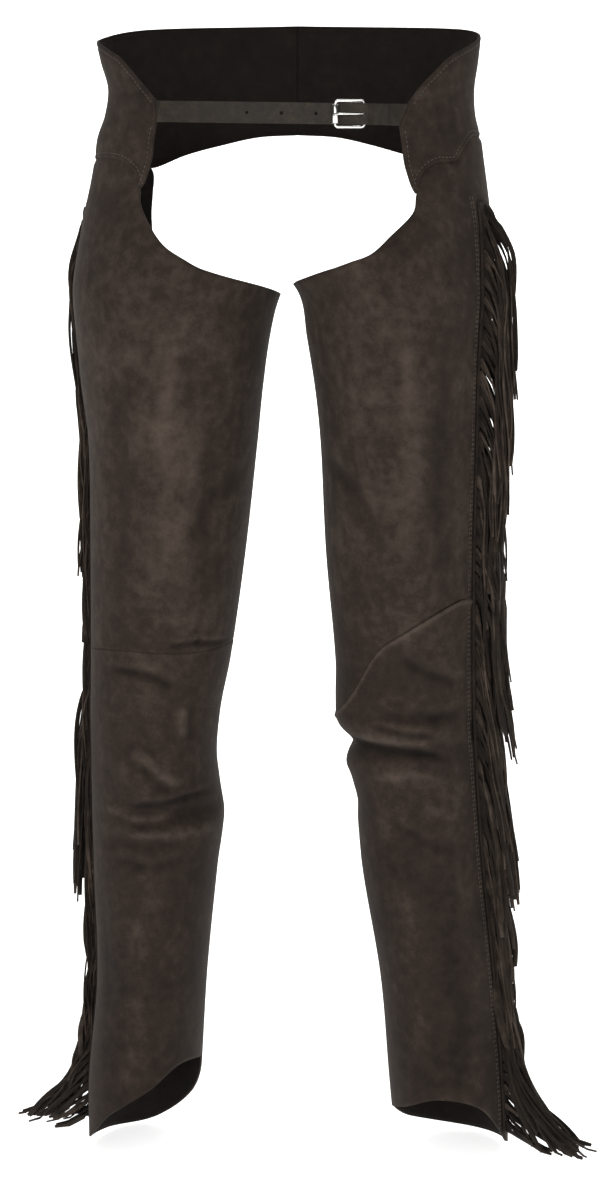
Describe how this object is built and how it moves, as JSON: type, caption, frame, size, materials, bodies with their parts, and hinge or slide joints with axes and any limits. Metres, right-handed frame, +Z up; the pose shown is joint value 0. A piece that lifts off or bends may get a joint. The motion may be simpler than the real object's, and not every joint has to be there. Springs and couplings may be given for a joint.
{
  "type": "leather chaps",
  "caption": "Black-brown suede shotgun chaps in their worn hollow form, with a fringe down each outer seam, hip yokes, a narrow front belt and a chrome roller buckle.",
  "frame": {"origin": "centre of the waist at the height of the front belt, where the wearer holds the chaps up", "axes": "+Z up, +X towards the wearer's left, the front of the chaps faces -Y"},
  "size_m": [0.5543, 0.228, 1.0505],
  "materials": {
    "suede": "matte",
    "strap_leather": "satin",
    "chrome": "polished"
  },
  "bodies": {
    "root": {"back_lap": "suede", "belt_billet": "strap_leather", "belt_chape": "strap_leather", "buckle_frame": "chrome", "buckle_prong": "chrome", "buckle_roller": "chrome", "fringe_left": "suede", "fringe_right": "suede", "lower_leg_left": "suede", "lower_leg_right": "suede", "upper_leg_left": "suede", "upper_leg_right": "suede", "yoke_left": "suede", "yoke_right": "suede"}
  },
  "joints": []
}
